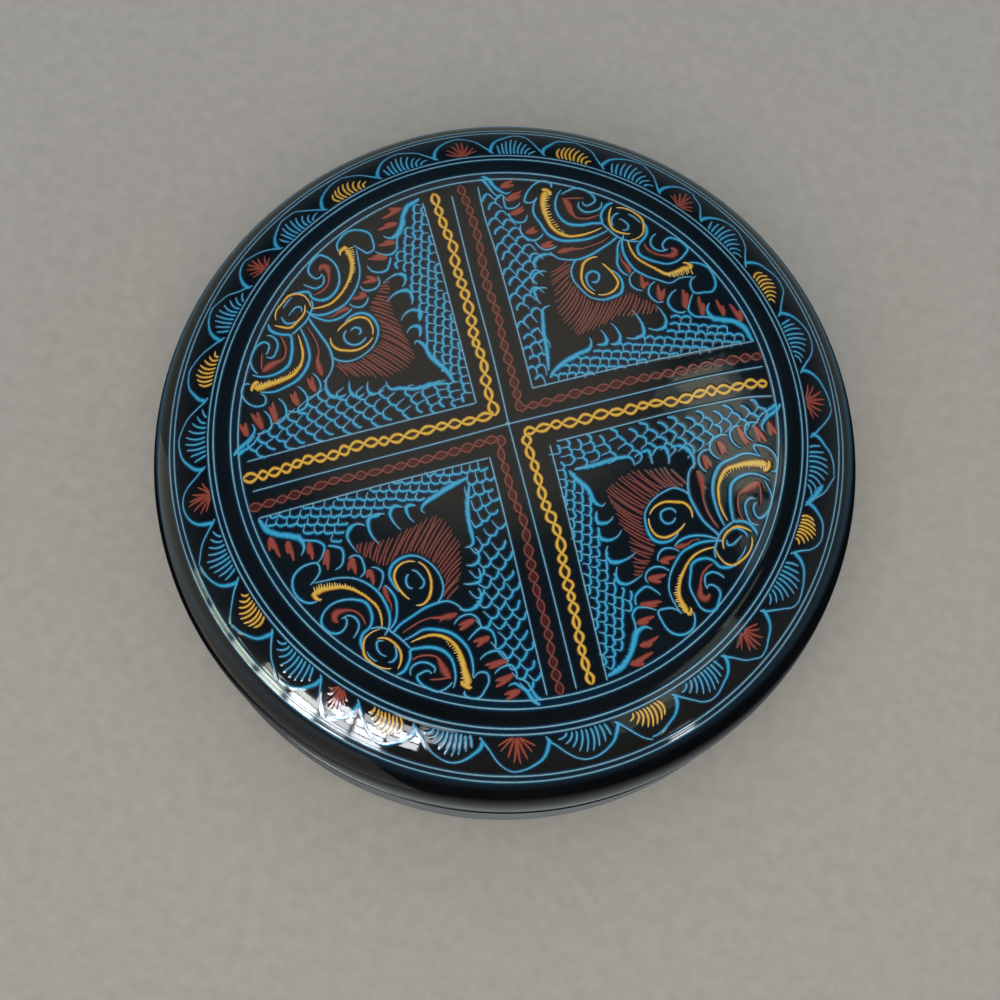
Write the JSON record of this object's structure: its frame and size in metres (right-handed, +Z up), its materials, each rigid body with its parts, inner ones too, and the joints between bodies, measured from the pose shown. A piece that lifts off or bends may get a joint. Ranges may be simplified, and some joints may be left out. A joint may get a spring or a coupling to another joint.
{
  "type": "round papier mache box with lift-off lid",
  "caption": "Round black-lacquered papier mache box with a low domed lid that lifts off a glued inner collar, decorated with traditional scrollwork.",
  "frame": {"origin": "centre of the underside, on the surface that the box stands on", "axes": "+Z up along the box's own axis, out through the lid's crown; +X to the right and +Y away from someone in front of it"},
  "size_m": [0.1462, 0.1462, 0.055],
  "materials": {
    "base_lacquer": "gloss",
    "collar_lacquer": "satin",
    "lid_lacquer": "gloss"
  },
  "bodies": {
    "base": {"base": "base_lacquer", "collar": "collar_lacquer"},
    "lid": {"lid": "lid_lacquer"}
  },
  "joints": [
    {"name": "lid_lift", "type": "slide", "parent": "base", "child": "lid", "axis": [0, 0, 1], "range_m": [0, 0.06]}
  ]
}
